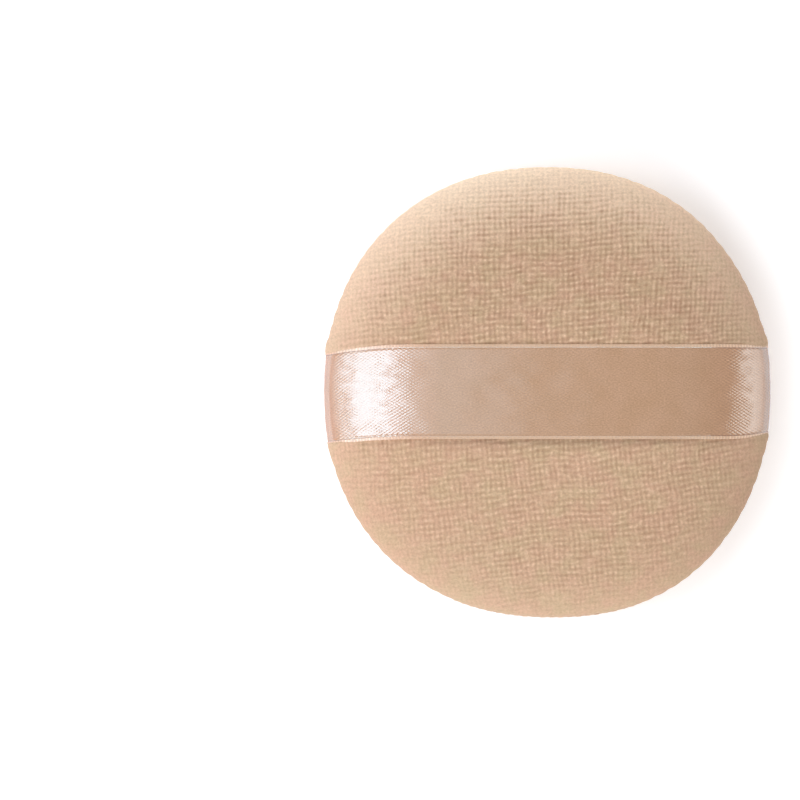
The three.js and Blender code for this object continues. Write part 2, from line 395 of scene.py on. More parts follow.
def simulate_swell():
    """Give each side a square grid of how far its stuffing moves it."""
    count = SWELL_STEPS + 1
    line = np.linspace(-1, 1, count)
    u, v = (k.ravel() for k in np.meshgrid(line, line, indexing="ij"))
    a, b = square_to_disc(u, v)
    share, angle = np.hypot(a, b), np.arctan2(b, a)
    edge = np.maximum(np.abs(u), np.abs(v)) > 1 - TINY
    top = upper.place(share * upper.rim, angle)
    bottom = lower.place(share * lower.rim, angle)
    top[edge, 2] = bottom[edge, 2] = 0
    index = np.arange(count * count).reshape(count, count)
    below = np.where(edge.reshape(count, count), index, index + count * count)
    under_ribbon = np.abs(top[:, 1]) < RIBBON_WIDTH / 2
    held = np.concatenate([edge | under_ribbon, edge | (bottom[:, 2] < REST_MARGIN - REST)])
    moved = blown_up(np.concatenate([top, bottom]), grid_quads(index) + grid_quads(below, True), held)
    moved[np.tile(edge, 2)] = 0
    upper.swell, lower.swell = moved.reshape(2, count, count, 3)


simulate_swell()


# Materials

class Shader:
    """A material whose nodes are added by kind, with their inputs linked or set by name."""

    def __init__(self, name):
        self.material = bpy.data.materials.new(name)
        self.material.use_nodes = True
        self.tree = self.material.node_tree
        self.tree.nodes.clear()

    def add(self, kind, inputs=None, out=0, **settings):
        node = self.tree.nodes.new("ShaderNode" + kind)
        for key, value in settings.items():
            setattr(node, key, value)
        for key, value in (inputs or {}).items():
            if isinstance(value, bpy.types.NodeSocket):
                self.tree.links.new(value, node.inputs[key])
            else:
                node.inputs[key].default_value = value
        return node.outputs[out]

    def math(self, operation, *values):
        return self.add("Math", dict(enumerate(values)), operation=operation)

    def times(self, first, *others):
        for other in others:
            first = self.math("MULTIPLY", first, other)
        return first

    def split(self, place):
        return self.add("SeparateXYZ", {0: place}).node.outputs[:2]

    def attribute(self, name):
        return self.add("Attribute", out=2, attribute_name=name)

    def noise(self, place, scale, detail=2.0, roughness=0.5):
        return self.add("TexNoise", dict(Vector=place, Scale=scale, Detail=detail, Roughness=roughness))

    def stretched(self, place, along, across, shift=0.0):
        """A place for a pattern with that many waves a millimetre along the cloth and across it."""
        return self.add("Mapping", dict(Vector=place, Location=(shift, 0, 0), Scale=(along, across, 1)))

    def streaks(self, place, along, across, detail):
        return self.noise(self.stretched(place, along, across), 1.0, detail)

    def ramp(self, value, low, high, to_low=0.0, to_high=1.0):
        return self.add("MapRange", {"Value": value, "From Min": low, "From Max": high,
                                     "To Min": to_low, "To Max": to_high})

    def stops(self, value, pairs):
        """A value that goes through pairs of place and size, in the order of their places."""
        low, high = pairs[0][0], pairs[-1][0]
        ramp = self.add("ValToRGB", {"Fac": self.ramp(value, low, high)})
        elements = ramp.node.color_ramp.elements
        for place, _ in pairs[1:-1]:
            elements.new((place - low) / (high - low))
        for element, (_, size) in zip(elements, pairs):
            element.color = (size, size, size, 1)
        return ramp

    def mix(self, share, one, other, blend="MIX"):
        return self.add("Mix", {0: share, 6: one, 7: other}, out=2, data_type="RGBA", blend_type=blend)

    def tinted(self, share, base, tint):
        return self.mix(share, base, (*tint, 1.0), "MULTIPLY")

    def shaded(self, base, shade):
        return self.mix(1.0, base, self.add("CombineColor", {k: shade for k in range(3)}), "MULTIPLY")

    def bump(self, height, distance, strength=1.0, **more):
        return self.add("Bump", dict(Height=height, Distance=distance, Strength=strength, **more))

    def output(self, shader):
        out = self.tree.nodes.new("ShaderNodeOutputMaterial")
        self.tree.links.new(shader, out.inputs["Surface"])
        return self.material

    def surface(self, **inputs):
        return self.output(self.add("BsdfPrincipled", {k.replace("_", " "): v for k, v in inputs.items()}))


def colour(*screen):
    """A colour from its red, green and blue as a screen shows them, from 11 to 255."""
    return (*[((value / 255 + 0.055) / 1.055) ** 2.4 for value in screen], 1.0)


PILE_PINK, PILE_GREEN = colour(197, 162, 136), colour(191, 165, 134)
PILE_PAINTED_SHEEN, PILE_TIP, PILE_GROOVE_SHADE = colour(245, 222, 196), colour(228, 198, 168), colour(152, 118, 90)
PILE_SHEEN = colour(255, 236, 214)
PILE_LEFT_WARM_LIGHT = (1.0, 0.93, 0.92)

SATIN_LIGHT, SATIN_DARK, SATIN_STREAK = colour(201, 160, 126), colour(196, 155, 119), colour(175, 133, 101)
SELVEDGE_TAN, SELVEDGE_HIGHLIGHT, GROOVE_SHADE = colour(214, 166, 116), colour(248, 222, 196), colour(140, 98, 78)
SATIN_LEFT_WARM_LIGHT, SATIN_RIGHT_WARM_LIGHT = (1.12, 0.98, 0.94), (1.04, 0.98, 0.95)
SATIN_TURNED_SHADE, SATIN_GLOSS_TINT = (0.88, 0.68, 0.57), (0.62, 0.9, 1.0)

FOAM_PORE, FOAM_PALE, FOAM_AGED = colour(214, 199, 172), colour(243, 234, 214), colour(238, 222, 190)
THREAD_DARK, THREAD_PALE = colour(186, 150, 122), colour(226, 196, 166)
PAPER_WHITE = colour(246, 246, 246)

# Satin: how far from its middle line the selvedge and its groove begin and end
SELVEDGE_SPAN = (7.46, 7.54)
GROOVE_SPAN, GROOVE_END_SPAN = (7.32, 7.4), (7.52, 7.44)

# Satin: the size of a cell of its weave, and for each slant of its lines, how far they show at the left end
# and at the right one, and a shift for their patches
CELL_LENGTH, CELL_WIDTH = 0.91, 0.53
SLANTS = ((-1, 0.85, 0.5, 0.0), (1, 0.5, 0.85, 40.0))
RIB_PITCH = 0.56

# Satin: places along it, each with how far the pull of the seam draws its weave up and how strong its
# painted glints are
DRAWN_AND_GLINT = ((-42, 0.0), (-37.5, 0.0), (-36.2, 1.0), (-33.6, 1.0), (-32.4, 0.25), (-30.4, 0.25), (-28.6, 0.5),
         (-24.5, 0.5), (-22.5, 0.15), (-20, 0.05), (26, 0.05), (29.5, 0.35), (31.5, 1.0), (34.5, 0.9),
         (36, 0.4), (42, 0.3))


def velour_material():
    """Napped velour: cells of pile between lines of weave darkened with painted shade, and a painted sheen
    over the rim.
    """
    m = Shader("velour")
    place = m.add("TexCoord", out=3)
    x, y = m.split(place)
    cloth = m.add("UVMap", uv_map="cloth")
    weave, painted_sheen, painted_shadow = map(m.attribute, ("weave", "painted_sheen", "painted_shadow"))

    # In some patches the rows show more than the columns, and in others less
    rows_rule = m.ramp(m.noise(place, 230, 1.0), 0.38, 0.62, 0.8, 1.0)
    columns_rule = m.math("SUBTRACT", 1.8, rows_rule)
    lines = []
    for threads, wear_scale, rule in zip(m.split(cloth), (800, 600), (columns_rule, rows_rule)):
        line = m.ramp(m.math("COSINE", m.times(threads, TURN)), -1, 1)
        worn = m.ramp(m.noise(place, wear_scale), 0.3, 0.7, 0.25, 1.15)
        lines.append(m.times(line, rule, worn))
    valley = m.times(m.math("ADD", *lines), 0.68, weave)
    cell = m.times(m.math("SUBTRACT", 1.0, m.math("MAXIMUM", *lines)), weave)
    tips = m.times(m.ramp(m.streaks(cloth, 0.75, 1.5, 2.0), 0.42, 0.66), cell)
    grain = m.noise(place, 2600, 3.0, 0.65)

    base = m.mix(m.ramp(m.noise(place, 260), 0.36, 0.64), PILE_PINK, PILE_GREEN)
    # Painted sheen over the rim, strongest on the lit upper left
    base = m.mix(painted_sheen, base, PILE_PAINTED_SHEEN)
    # A painted warm cast of light on the left side
    base = m.tinted(m.ramp(x, -0.034, -0.014, 1.0, 0.0), base, PILE_LEFT_WARM_LIGHT)
    base = m.mix(m.times(tips, 0.7), base, PILE_TIP)
    # Painted shade in the grooves of the weave
    base = m.mix(m.times(valley, 0.64), base, PILE_GROOVE_SHADE)

    # Darker in the grain and above the ribbon, with a painted shadow where the ribbon lies close and painted
    # shade towards the right
    shade = m.times(m.ramp(grain, 0.25, 0.75, 0.83, 1.17), m.ramp(y, -0.008, 0.014, 1.0, 0.95),
                    m.ramp(painted_shadow, 0, 1, 1.0, 0.86), m.ramp(x, 0.016, 0.037, 1.0, 0.92))
    nap = m.bump(grain, 0.00006, 0.6)
    return m.surface(Base_Color=m.shaded(base, shade), Roughness=0.95, Specular_IOR_Level=0.15,
                     Normal=m.bump(valley, -0.00004, 0.6, Normal=nap),
                     Sheen_Weight=0.35, Sheen_Roughness=0.45, Sheen_Tint=PILE_SHEEN)


def satin_material():
    """Polyester satin: smooth and streaked, with its weave drawn up near the ends, and ribbed selvedges."""
    m = Shader("satin")
    place = m.add("UVMap", uv_map="cloth")
    along, across = m.split(place)
    from_middle, from_line = m.math("ABSOLUTE", along), m.math("ABSOLUTE", across)
    selvedge = m.ramp(from_line, *SELVEDGE_SPAN)
    groove = m.times(m.ramp(from_line, *GROOVE_SPAN), m.ramp(from_line, *GROOVE_END_SPAN))
    ends = m.ramp(from_middle, 21, 31)
    turned = m.ramp(from_middle, 36.8, 39)
    drawn_and_glint = m.stops(along, DRAWN_AND_GLINT)

    lattice = []
    for slant, at_left, at_right, shift in SLANTS:
        spot = m.stretched(place, 0.5, 0.8, shift)
        patches = m.ramp(m.noise(spot, 1.0, 1.0), 0.35, 0.65, 0.4, 1.3)
        share = m.times(m.ramp(along, -30, 30, at_left, at_right), patches)
        line = m.math("ADD", m.times(along, 1 / CELL_LENGTH), m.times(across, slant / CELL_WIDTH))
        line = m.math("ADD", line, m.times(m.noise(spot, 0.7, 1.0), 0.7))
        lattice.append(m.times(m.math("COSINE", m.times(line, TURN)), share))
    cells = m.math("ADD", *lattice)
    streak = m.streaks(place, 0.35, 9.0, 3.0)
    cloudy = m.streaks(place, 0.2, 0.2, 2.0)
    speck = m.streaks(place, 3.0, 5.0, 1.0)

    base = m.mix(m.ramp(cloudy, 0.35, 0.65), SATIN_LIGHT, SATIN_DARK)
    base = m.mix(m.times(m.ramp(streak, 0.3, 0.7), 0.15), base, SATIN_STREAK)
    # Colour contrast of the weave, raised into painted glints where it is drawn up
    contrast = m.times(cells, m.ramp(drawn_and_glint, 0, 1, 0.03, 0.19))
    # Weave contrast and specks, and painted shade towards the right end
    shade = m.times(m.math("ADD", contrast, 1.0), m.ramp(speck, 0.3, 0.7, 0.87, 1.13),
                    m.ramp(along, 17, 27, 1.0, 0.95))
    base = m.shaded(base, shade)

    # The ribs of the selvedge, worn in places, and paler at the ends with a painted highlight
    rib = m.ramp(m.math("COSINE", m.times(along, TURN / RIB_PITCH)), -1, 1, 0.2, 0.7)
    worn = m.ramp(m.streaks(place, 0.9, 0.5, 2.0), 0.35, 0.65, 0.6, 1.3)
    ribs = m.times(selvedge, m.times(rib, worn, m.ramp(ends, 0, 1, 0.5, 1.8)))
    base = m.mix(ribs, base, SELVEDGE_TAN)
    base = m.mix(m.times(ribs, m.times(ends, 0.5)), base, SELVEDGE_HIGHLIGHT)
    # Painted shade in the selvedge's groove, deeper at the ends
    base = m.mix(m.times(groove, m.ramp(ends, 0, 1, 0.12, 0.6)), base, GROOVE_SHADE)

    # Painted warm light at both ends, where the highlights fall
    base = m.tinted(m.ramp(along, -18, -26), base, SATIN_LEFT_WARM_LIGHT)
    base = m.tinted(m.ramp(along, 24, 32), base, SATIN_RIGHT_WARM_LIGHT)
    # Painted shade where the ribbon turns down into the seam
    base = m.tinted(turned, base, SATIN_TURNED_SHADE)

    woven = m.times(cells, m.ramp(drawn_and_glint, 0, 1, 0.18, 0.95))
    relief = m.math("ADD", woven, m.times(streak, 0.3))
    relief = m.math("SUBTRACT", relief, m.times(groove, m.ramp(ends, 0, 1, 0.2, 2.0)))
    rib_roughness = m.ramp(ends, 0, 1, 0.9, 0.4)
    return m.surface(Base_Color=base, Roughness=m.ramp(selvedge, 0, 1, 0.18, rib_roughness),
                     Normal=m.bump(relief, 0.000016), IOR=2.05, Specular_IOR_Level=1.0,
                     Specular_Tint=(*SATIN_GLOSS_TINT, 1.0), Anisotropic=0.5, Anisotropic_Rotation=0.25,
                     Tangent=m.add("Tangent", direction_type="UV_MAP", uv_map="cloth"))


def foam_material():
    m = Shader("foam")
    place = m.add("TexCoord", out=3)
    pores = m.add("TexVoronoi", {"Vector": place, "Scale": 1300.0, "Randomness": 1.0})
    aged = m.ramp(m.noise(place, 300, 3.0), 0.3, 0.7, 0.0, 0.25)
    base = m.mix(m.ramp(pores, 0.0, 0.5), FOAM_PORE, FOAM_PALE)
    return m.surface(Base_Color=m.mix(aged, base, FOAM_AGED), Roughness=0.9,
                     Normal=m.bump(pores, 0.0002, 0.8), Specular_IOR_Level=0.2)


def thread_material():
    m = Shader("thread")
    fibre = m.streaks(m.add("UVMap", uv_map="cloth"), 1.5, 12.0, 3.0)
    base = m.mix(m.ramp(fibre, 0.3, 0.7), THREAD_DARK, THREAD_PALE)
    return m.surface(Base_Color=base, Roughness=0.7, Normal=m.bump(fibre, 0.00003, 0.8),
                     Sheen_Weight=0.3, Sheen_Roughness=0.4)


velour, satin, foam, thread = velour_material(), satin_material(), foam_material(), thread_material()


# Velour covers

# The grid of points in the weave: pitch of its columns and rows, samples of each, and how far it goes
COLUMN_PITCH, ROW_PITCH = 0.826, 0.955
COLUMN_SAMPLES, ROW_SAMPLES = 3, 4
GRID_REACH, GRID_SPARE = 36.6, 1.25

# The round rings from there to the rim, the foot and the end, and those of the face inside
SECTORS = 640
RING_GAP, RING_COUNTS = 0.15, (18, 7, 4)
LINING_RINGS, LINING_SPACING = 22, 0.25

# How the weave lies: its rows climb to the right, and its columns lean and fan out
ROW_CLIMB, ROW_CLIMB_CHANGE, CLIMB_BEND = 0.100, 0.031, 20
COLUMN_LEAN, COLUMN_LEAN_CHANGE, LEAN_BEND = -0.052, 0.070, 12.0
FAN, FAN_BEND = 0.0026, 60
WEAVE_STEPS = 12

# How it wanders: size, length of the waves, and seed
COLUMN_WANDER = ((0.08, 9, 11), (0.035, 3.2, 12))
ROW_WANDER = ((0.12, 11, 13), (0.05, 3.4, 14))

# How much of it the pile hides near the rim, below and on the left, and between which places
PILE_HIDES = ((0.8, 29, 40), (0.17, -4, 14), (0.16, 8, 20))

# Its grooves: depth and sharpness between columns and between rows, and their strengths
GROOVES = ((0.0285, 1.3), (0.057, 1.5))
LINES, LINE_STRENGTHS = 400, (0.8, 1.15)
PATCHES = ((0.2, 5.0), (0.3, 1.9))
PATCH_LIMITS = (0.1, 2)
FUZZ = 0.012

# The painted sheen over the rim: the way that it faces, towards the lit upper left, and where it comes and
# goes
SHEEN_ANGLE, SHEEN_SHARPNESS = math.radians(102), 2.5
SHEEN_SPAN, SHEEN_ALL_ROUND = (22, 41), 0.08
SHEEN_LOSS, SHEEN_LOSS_SPAN = 0.8, (40, 44)

# The shade under the ribbon's lower edge: beside that edge, and along it
CONTACT_SPAN, CONTACT_FADE_SPAN = (-0.4, 0), (0.3, 2.3)
CONTACT_LEFT_SPAN = (-26, -10)
CONTACT_RIGHT_LOSS, CONTACT_RIGHT_SPAN = 0.8, (14, 28)

PUCKER_DEPTH, PUCKER_REACH, PUCKER_STRENGTHS = 0.13, 4.5, (0.3, 1.0)


def weave_to_cloth(u, v):
    """Where a place in the weave lies on the flat cloth."""
    climb = ROW_CLIMB - ROW_CLIMB_CHANGE * np.tanh(v / CLIMB_BEND)
    lean = COLUMN_LEAN * v + COLUMN_LEAN_CHANGE * LEAN_BEND * np.log(np.cosh(v / LEAN_BEND))
    spread = FAN * (np.sqrt(v * v + FAN_BEND) + v) / 2
    place = [u * (1 + spread) + lean, v + u * climb]
    for k, waves in enumerate((COLUMN_WANDER, ROW_WANDER)):
        for size, pitch, seed in waves:
            place[k] = place[k] + size * ripple(u, v, pitch, seed)
    return place


def cloth_to_weave(p, q):
    """The way back from weave_to_cloth, closed in on by steps."""
    u, v = p.copy(), q.copy()
    for _ in range(WEAVE_STEPS):
        at_p, at_q = weave_to_cloth(u, v)
        u, v = u + p - at_p, v + q - at_q
    return u, v


def weave_share(u, v, s):
    """How far the weave shows through the pile."""
    share = 1
    for place, (most, *span) in zip((s, -v, -u), PILE_HIDES):
        share = share * (1 - most * smooth(place, *span))
    return share


def painted_rim_sheen(s, angle):
    """How much painted sheen the pile gets: over the rim, most towards the lit upper left."""
    facing = ((1 + np.cos(angle - SHEEN_ANGLE)) / 2) ** SHEEN_SHARPNESS
    over_rim = smooth(s, *SHEEN_SPAN) * (1 - SHEEN_LOSS * smooth(s, *SHEEN_LOSS_SPAN))
    return over_rim * (SHEEN_ALL_ROUND + (1 - SHEEN_ALL_ROUND) * facing)


def contact_shade(side, s, angle):
    """How much painted shadow the pile gets under the ribbon's lower edge."""
    x, y = side.plan(s, angle)
    beside = ribbon_middle(x) - ribbon_half(x) - y
    near = smooth(beside, *CONTACT_SPAN) * (1 - smooth(beside, *CONTACT_FADE_SPAN))
    right = 1 - CONTACT_RIGHT_LOSS * smooth(x, *CONTACT_RIGHT_SPAN)
    return near * smooth(x, *CONTACT_LEFT_SPAN) * right * (side.sign > 0)


def line_strengths(rng, bounds, at):
    """A random strength for each line, at places counted in lines from the middle."""
    return rng.uniform(*bounds, LINES)[np.round(at).astype(int) + LINES // 2]


def weave_relief(u, v, s, seed):
    """How deep the cloth lies below the tips of its pile, in millimetres below 0."""
    rng = np.random.default_rng(seed)
    grooves = []
    for at, (depth, sharpness) in zip((u / COLUMN_PITCH, v / ROW_PITCH), GROOVES):
        strength = line_strengths(rng, LINE_STRENGTHS, at)
        grooves.append(depth * strength * ((1 + np.cos(TURN * at)) / 2) ** sharpness)
    patches = 1
    for k, (size, pitch) in enumerate(PATCHES, 1):
        patches = patches + size * ripple(u, v, pitch, seed + k)
    fuzz = rng.uniform(0, FUZZ, len(u))
    return -(np.maximum(*grooves) * np.clip(patches, *PATCH_LIMITS) * weave_share(u, v, s) + fuzz)


def puckers(s, angle, side, seed):
    """Small tucks where the stitches draw the cloth in, just above the fold."""
    around = angle * HALF_X / STITCH
    strength = line_strengths(np.random.default_rng(seed), PUCKER_STRENGTHS, around)
    near = smooth(s, side.rim - PUCKER_REACH, side.rim)
    near = near * (1 - smooth(s, side.rim, side.foot))
    return -PUCKER_DEPTH * strength * near * ((1 + np.cos(TURN * around)) / 2) ** 2


def woven_grid():
    """Points in the weave, with their places on the cloth, their quads, and the cells in use."""
    half = int(GRID_SPARE * GRID_REACH / COLUMN_PITCH * COLUMN_SAMPLES)
    line = np.arange(-half, half + 1)
    u, v = np.meshgrid(line * COLUMN_PITCH / COLUMN_SAMPLES, line * ROW_PITCH / ROW_SAMPLES, indexing="ij")
    p, q = weave_to_cloth(u, v)
    inside = np.hypot(p, q) < GRID_REACH
    cells = inside[:-1, :-1] & inside[1:, :-1] & inside[1:, 1:] & inside[:-1, 1:]
    width = len(line)
    corners = np.stack([np.argwhere(cells) @ [width, 1] + k for k in (0, width, width + 1, 1)], 1)
    used, quads = np.unique(corners, return_inverse=True)
    return [k.ravel()[used] for k in (u, v, p, q)], quads.reshape(-1, 4), cells


def joined_to_ring(cloth, quads, cells, ring):
    """Triangles from the jagged edge of the grid to a ring of points, numbered after the grid's own."""
    edges = np.concatenate([quads[:, [k, (k + 1) % 4]] for k in range(4)])
    _, places, uses = np.unique(np.sort(edges, 1), axis=0, return_index=True, return_counts=True)
    border, border_edges = np.unique(edges[places[uses == 1]], return_inverse=True)
    count = len(border)
    flat = np.concatenate([cloth[border], ring])
    ring_edges = count + np.stack([np.arange(SECTORS), (np.arange(SECTORS) + 1) % SECTORS], 1)
    all_edges = np.concatenate([border_edges.reshape(-1, 2), ring_edges]).tolist()
    result = delaunay_2d_cdt([Vector(k) for k in flat.tolist()], all_edges, [], 0, TINY / 10, True)
    _, _, found, sources, _, _ = result
    triangles = np.array([[sources[k][0] for k in face] for face in found])

    # Those that lie in a cell of the grid are its own area
    u, v = cloth_to_weave(*flat[triangles].mean(1).T)
    half = len(cells) // 2
    column = np.floor(u / COLUMN_PITCH * COLUMN_SAMPLES).astype(int) + half
    row = np.floor(v / ROW_PITCH * ROW_SAMPLES).astype(int) + half
    triangles = triangles[~cells[column, row]]
    in_grid = border[np.minimum(triangles, count - 1)]
    return np.where(triangles < count, in_grid, triangles - count + len(cloth))


def lining_rings(side, angle):
    """The plain face inside, from the end of the allowance to the fold and up to the crown."""
    rings = []
    for reach in (ALLOWANCE_END, FOLD_FOOT):
        mouth = side.mouth(np.full(SECTORS, side.foot), *plan_place(reach, angle))
        rings.append(on_plan(reach, angle, side.sign * (ALLOWANCE_TOP + mouth)))
    for s in np.linspace(side.rim, 0, LINING_RINGS)[:-1]:
        count = len(rings[-1])
        if TURN * s / count < LINING_SPACING:
            count //= 2
        rings.append(side.place(np.full(count, s), ring_angles(count), -COVER_THICK))
    return [*rings, side.place(np.zeros(1), np.zeros(1), -COVER_THICK)]


def build_cover(name, side, node, seed):
    """A closed shell: the woven outer face, the fold and allowance, and the plain face inside."""
    (u, v, p, q), quads, cells = woven_grid()
    angle = ring_angles(SECTORS)
    ring_s = GRID_REACH + RING_GAP
    ring = np.stack([ring_s * np.cos(angle), ring_s * np.sin(angle)], 1)
    faces = quads.tolist() + joined_to_ring(np.stack([p, q], 1), quads, cells, ring).tolist()

    stops = (ring_s, side.rim, side.foot, side.length[-1])
    runs = [np.linspace(start, end, count)[1:] for start, end, count in zip(stops, stops[1:], RING_COUNTS)]
    rings = np.concatenate([[ring_s], *runs])
    for k in range(len(rings) - 1):
        first = len(u) + k * SECTORS
        faces += between_rings(first, SECTORS, first + SECTORS, SECTORS)
    s, angles = np.repeat(rings, SECTORS), np.tile(angle, len(rings))
    ring_u, ring_v = cloth_to_weave(s * np.cos(angles), s * np.sin(angles))
    u, v = np.append(u, ring_u), np.append(v, ring_v)
    s, angles = np.append(np.hypot(p, q), s), np.append(np.arctan2(q, p), angles)
    relief = weave_relief(u, v, s, seed) + puckers(s, angles, side, seed + 5)
    relief *= 1 - smooth(s, side.rim, side.foot)

    lining = lining_rings(side, angle)
    first, count, total = len(s) - SECTORS, SECTORS, len(s)
    for ring in lining:
        faces += between_rings(first, count, total, len(ring))
        first, count = total, len(ring)
        total += count
    if side.sign < 0:
        faces = [face[::-1] for face in faces]
    points = to_scene(np.concatenate([side.place(s, angles, relief), *lining]))
    points[:, 2] = np.maximum(points[:, 2], 0)

    obj = mesh_object(name, points, faces, velour)
    uv_map(obj, np.stack([u / COLUMN_PITCH, v / ROW_PITCH], 1))
    point_value(obj, "painted_sheen", painted_rim_sheen(s, angles))
    point_value(obj, "weave", weave_share(u, v, s))
    point_value(obj, "painted_shadow", contact_shade(side, s, angles))
    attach(obj, "pad")
    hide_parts(node)
    return obj


upper_velour = build_cover("ribbon_side_velour", upper, "ribbon_side_cover", 100)
build_cover("applicator_velour", lower, "applicator_cover", 200)


# Satin ribbon

RIBBON_STEP = 0.14
HALF_POINTS, BEND_POINTS = 900, 30

# Its run from the rim to being sewn, and how high it stays with the pad
SEWN_RUN, STILL_TO = 2, 3.5

# How much flatter than the dome it lies across its width, and how much straighter its ends are
FLATNESS = 0.6
STRAIGHTEN, STRAIGHTEN_START = 0.2, 30

# Places in from its edges, each with how far its upper face stands up, and the plain columns inside them
SELVEDGE = ((0, -0.01), (0.02, 0.03), (0.08, 0.045), (0.2, 0.055), (0.32, 0.055), (0.43, 0.03), (0.52, 0.0),
            (0.6, -0.03), (0.68, -0.028), (0.78, -0.006), (0.9, 0.006), (1.05, 0.0))
SELVEDGE_HIGH = 0.06
PLAIN_COLUMNS = 14
EDGE_THIN = 0.06

# Its ribs, and its soft waves: size, stretch across, length and seed
RIB_HEIGHT, RIB_WANDER, RIB_WANDER_PITCH, RIB_SEED = 0.02, 0.6, 3, 34
WAVES = ((0.018, 1, 14, 31), (0.008, 2.5, 6, 32))
WAVE_LEAST = -0.05

# Folds where it is gathered: height, stretch along, length and seed. Humps: place along it and height
GATHER_SPAN, GATHER = (34, 41), (0.02, 0.25, 3.0, 33)
HUMPS, HUMP_SPREAD, HUMP_SPAN = ((32.5, 0.2), (-37, 0.1)), 3, (-4, 8)


def ribbon_centreline(tuck):
    """Half of the ribbon's middle layer seen from the side, from the crown to its sewn end."""
    turn, x, z = dome_section(HALF_POINTS)
    out_x = DOME_RISE * np.sin(turn) ** (2 - 2 / DOME_POWER)
    out = np.stack([out_x, HALF_X * 2 / DOME_POWER * np.cos(turn)])
    out /= np.hypot(*out)
    stand = FIT_GAP + RIBBON_THICK / 2 - tuck * smooth(x, TUCK_START, HALF_X)
    x, z = x + out[0] * stand, z + out[1] * stand
    bend = (FOLD_TOP - FIT_GAP) * BEND_SHARE
    arc = np.linspace(0, QUARTER, BEND_POINTS)[1:]
    foot = HALF_X + stand[-1] - bend
    x = np.concatenate([x, [HALF_X + stand[-1]], foot + bend * np.cos(arc), [ALLOWANCE_END]])
    z = np.concatenate([z, [bend], bend * (1 - np.sin(arc)), [0]])
    return arc_length(x, z), x, z


def ribbon_rows():
    """Stations along the ribbon: arc length, X and Z of its middle, the way out, and how far it is sewn."""
    halves = []
    for sign, tuck in zip((-1, 1), END_TUCK):
        length, x, z = ribbon_centreline(tuck)
        far = np.linspace(0, length[-1], int(round(length[-1] / RIBBON_STEP)) + 1)
        rim = length[np.searchsorted(-z[1:], -FOLD_TOP)]
        tangent = [np.interp(far, length, np.gradient(k, length)) for k in (x, z)]
        size = np.hypot(*tangent)
        half = np.stack([sign * far, np.interp(far, length, x) * sign, np.interp(far, length, z),
                         -sign * tangent[1] / size, tangent[0] / size, smooth(far, rim, rim + SEWN_RUN)])
        halves.append(half[:, :0:-1] if sign < 0 else half)
    return np.concatenate(halves, 1)


def ribbon_columns():
    """Columns across it: how far in from an edge, how far the face stands up, and on which side."""
    inset, rise = np.array(SELVEDGE).T
    plain = np.linspace(inset[-1], RIBBON_WIDTH / 2, PLAIN_COLUMNS)[1:]
    inset, rise = np.append(inset, plain), np.append(rise, 0 * plain)
    half = len(inset) - 1
    side = np.repeat([-1.0, 0.0, 1.0], [half, 1, half])
    return np.append(inset, inset[-2::-1]), np.append(rise, rise[-2::-1]), side


def ribbon_lift(s, y):
    """How far the middle layer of the ribbon stands off its smooth course."""
    wave = sum(size * ripple(s, y * stretch, pitch, seed) for size, stretch, pitch, seed in WAVES)
    height, stretch, pitch, seed = GATHER
    gather = smooth(np.abs(s), *GATHER_SPAN) * height * ripple(s * stretch, y, pitch, seed)
    humps = sum(height * np.exp(-((s - middle) / HUMP_SPREAD) ** 2) for middle, height in HUMPS)
    return np.maximum(wave, WAVE_LEAST) + gather + smooth(y, *HUMP_SPAN) * humps


def build_ribbon():
    """One closed strip, whose selvedges stand up a little and are ribbed."""
    along, x0, z0, out_x, out_z, sewn = (k[:, None] for k in ribbon_rows())
    inset, rise, side = ribbon_columns()
    plan = np.clip(x0, -HALF_X, HALF_X)
    middle, half = ribbon_middle(plan), ribbon_half(plan)
    y = middle + side * (half - inset * half / (RIBBON_WIDTH / 2))
    s = np.broadcast_to(along, y.shape)

    # Its ends run straighter across than the outline, and it is flatter than the dome until sewn
    straight = STRAIGHTEN * smooth(np.abs(plan), STRAIGHTEN_START, HALF_X)
    x = x0 * (1 - (1 - outline_x(y) / HALF_X) * (1 - straight))
    drop = (dome_height(x, y) - dome_height(x, middle)) * (1 - sewn)
    z = z0 + drop * (1 - FLATNESS)
    wander = RIB_WANDER * ripple(s, 0 * y, RIB_WANDER_PITCH, RIB_SEED)
    rib = np.cos(TURN * s / RIB_PITCH + wander) * RIB_HEIGHT
    face = RIBBON_THICK / 2 + rise + rib * (np.maximum(rise, 0) / SELVEDGE_HIGH)
    back = -RIBBON_THICK / 2 + EDGE_THIN * (inset == 0)
    lift = ribbon_lift(s, y)

    def layer(height):
        return np.stack([x + out_x * height, y, z + out_z * height], -1).reshape(-1, 3)

    index = np.arange(y.size).reshape(y.shape)
    under = index + y.size
    faces = grid_quads(index) + grid_quads(under, True)
    for strip in ((under[:, 0], index[:, 0]), (index[:, -1], under[:, -1])):
        faces += grid_quads(np.stack(strip, 1))
    for strip in ((under[0], index[0]), (index[-1], under[-1])):
        faces += grid_quads(np.stack(strip, 0))
    points = to_scene(np.concatenate([layer(lift + face), layer(lift + back)]))
    obj = mesh_object("satin_ribbon", points, faces, satin)
    across = np.broadcast_to(side * (RIBBON_WIDTH / 2 - inset), y.shape)
    flat = np.stack([s, across], -1).reshape(-1, 2)
    uv_map(obj, np.concatenate([flat, flat]))
    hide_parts("ribbon_band", "ribbon_tail_left", "ribbon_tail_right")
    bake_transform(obj)


build_ribbon()


# Foam core

FOAM_RINGS = 34
FOAM_SECTORS, FOAM_LEAST = 320, 10
FOAM_CROWDING = 0.5
WEAR, WEAR_PITCH, WEAR_STRETCH, WEAR_SEED = 0.05, 1.7, 3, 51


